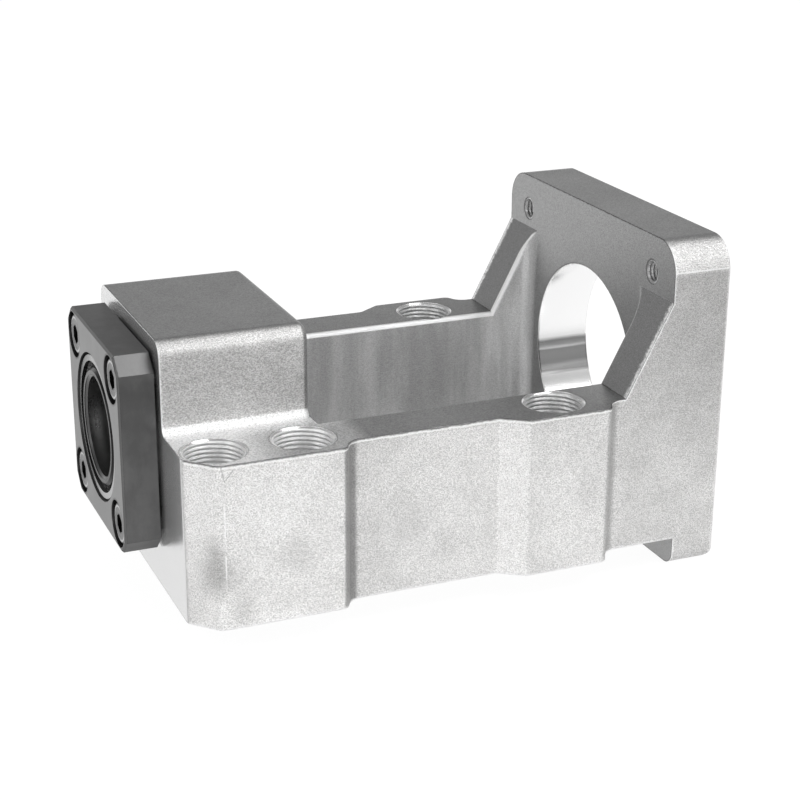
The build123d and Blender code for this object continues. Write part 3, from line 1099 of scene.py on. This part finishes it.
def dress(piece, material):
    piece.data.materials.clear()
    piece.data.materials.append(material)


for name, node in frame["nodes"].items():
    for slot in node.material_slots:
        slot.material = finishes[slotOf[name]]
# Painted light and shade: each thread gets the lit, plain or shaded copy by where it stands
for ridge in threads:
    if ridge.name.startswith("motor"):
        dress(ridge, threadFinishes["shadedAluminium"])
    elif ridge.bound_box[0][0] < 0:
        dress(ridge, threadFinishes["litAluminium"])
    else:
        dress(ridge, threadFinishes["cutAluminium"])
print("materials:", len(finishes) + len(threadFinishes))


# Camera, at the photograph's place and angle. Lengths are in millimetres, angles in degrees, and
# the shifts are shares of the sensor's width

view = {
    "eye": (-104.25, -281.35, 133.37),
    "yaw": 66.81,
    "pitch": 20.43,
    "roll": 0.46,
    "lens": 81.6,
    "sensor": 36.0,
    "shiftX": -0.0192,
    "shiftY": 0.0097,
    "clipStart": 10.0,
    "clipEnd": 50000.0,
}


def aimCamera():
    data = bpy.data.cameras.new("camera")
    camera = bpy.data.objects.new("camera", data)
    bpy.context.scene.collection.objects.link(camera)
    yaw, pitch, roll = (radians(view[key]) for key in ("yaw", "pitch", "roll"))
    ahead = Vector((cos(yaw) * cos(pitch), sin(yaw) * cos(pitch), -sin(pitch)))
    right = Vector((sin(yaw), -cos(yaw), 0))
    up = right.cross(ahead)
    rolledRight = right * cos(roll) + up * sin(roll)
    rolledUp = up * cos(roll) - right * sin(roll)
    turn = Matrix((rolledRight, rolledUp, -ahead)).transposed().to_4x4()
    camera.matrix_world = Matrix.Translation(Vector(view["eye"]) * mm) @ turn
    data.lens = view["lens"]
    data.sensor_width = view["sensor"]
    data.shift_x = view["shiftX"]
    data.shift_y = view["shiftY"]
    data.clip_start = view["clipStart"] * mm
    data.clip_end = view["clipEnd"] * mm
    bpy.context.scene.camera = camera


aimCamera()
print("camera ready")


# Studio: floor, white surroundings and soft lamps, in metres. The white that metal mirrors from the floor
# is a painted pool of light, a glow that fades in front of the object

studio = {
    "floorSize": 6.0,
    "floorTone": 0.88,
    "floorRough": 0.9,
    "shadowShare": 0.12,
    "seenTone": 1.08,
    "glowFade": (-0.15, -0.045),
    "glowFar": 0.25,
    "fill": 0.55,
    "ceiling": 0.35,
    "ceilingRise": (0.12, 0.4),
    "target": (0.01, 0, 0.02),
}

lamps = {
    "overhead": {"place": (0.20, -0.19, 0.46), "size": 0.26, "power": 1.2},
    "frontLow": {"place": (0.16, -0.42, 0.07), "size": 0.30, "power": 0.4},
    "leftSide": {"place": (-0.45, -0.12, 0.30), "size": 0.30, "power": 0.5},
    "leftLow": {"place": (-0.18, -0.36, 0.05), "size": 0.15, "power": 0.25},
}


def whiteSeen(tree):
    # 1 for rays that show the background: camera, glossy and transmission rays
    path = tree.nodes.new("ShaderNodeLightPath").outputs
    seen = tree.larger(path["Is Camera Ray"], path["Is Glossy Ray"])
    return tree.larger(seen, path["Is Transmission Ray"])


def layFloor():
    deselectAll()
    bpy.ops.mesh.primitive_plane_add(size=studio["floorSize"], location=(0, 0, bracketLow.z))
    floor = bpy.context.object
    floor.name = "floor"
    settle(floor)
    material, tree, shader = newMaterial("paleFloor")
    shader.inputs["Base Color"].default_value = grey(studio["floorTone"])
    shader.inputs["Roughness"].default_value = studio["floorRough"]
    glow = tree.nodes.new("ShaderNodeEmission")
    # A painted pool of light: the glow that metal mirrors fades in front of the object
    front = tree.split(tree.objectPlace())["Y"]
    tone = tree.step(front, studio["glowFade"], (studio["glowFar"], 1.0))
    camera = tree.nodes.new("ShaderNodeLightPath").outputs["Is Camera Ray"]
    tree.put(tree.blend(camera, tone, studio["seenTone"]), glow.inputs["Strength"])
    joined = tree.nodes.new("ShaderNodeMixShader")
    tree.put(tree.times(whiteSeen(tree), 1 - studio["shadowShare"]), joined.inputs[0])
    tree.put(shader.outputs[0], joined.inputs[1])
    tree.put(glow.outputs[0], joined.inputs[2])
    tree.put(joined.outputs[0], tree.nodes["Material Output"].inputs["Surface"])
    dress(floor, material)


def lightWorld():
    world = bpy.data.worlds.new("studio")
    bpy.context.scene.world = world
    world.use_nodes = True
    tree = Tree(world.node_tree)
    backdrop = world.node_tree.nodes["Background"]
    upwards = tree.split(tree.nodes.new("ShaderNodeTexCoord").outputs["Generated"])["Z"]
    white = tree.step(upwards, studio["ceilingRise"], (1.0, studio["ceiling"]))
    white = tree.larger(white, tree.nodes.new("ShaderNodeLightPath").outputs["Is Camera Ray"])
    backdrop.inputs["Color"].default_value = grey(1.0)
    tree.put(tree.blend(whiteSeen(tree), studio["fill"], white), backdrop.inputs["Strength"])


def hangLamp(name, lamp):
    data = bpy.data.lights.new(name, "AREA")
    data.shape = "SQUARE"
    data.size = lamp["size"]
    data.energy = lamp["power"]
    item = bpy.data.objects.new(name, data)
    bpy.context.scene.collection.objects.link(item)
    item.location = lamp["place"]
    ahead = Vector(studio["target"]) - item.location
    item.rotation_euler = ahead.to_track_quat("-Z", "Y").to_euler()


layFloor()
lightWorld()
for name, lamp in lamps.items():
    hangLamp(name, lamp)
bpy.context.scene.view_settings.view_transform = "Standard"
print("studio ready")
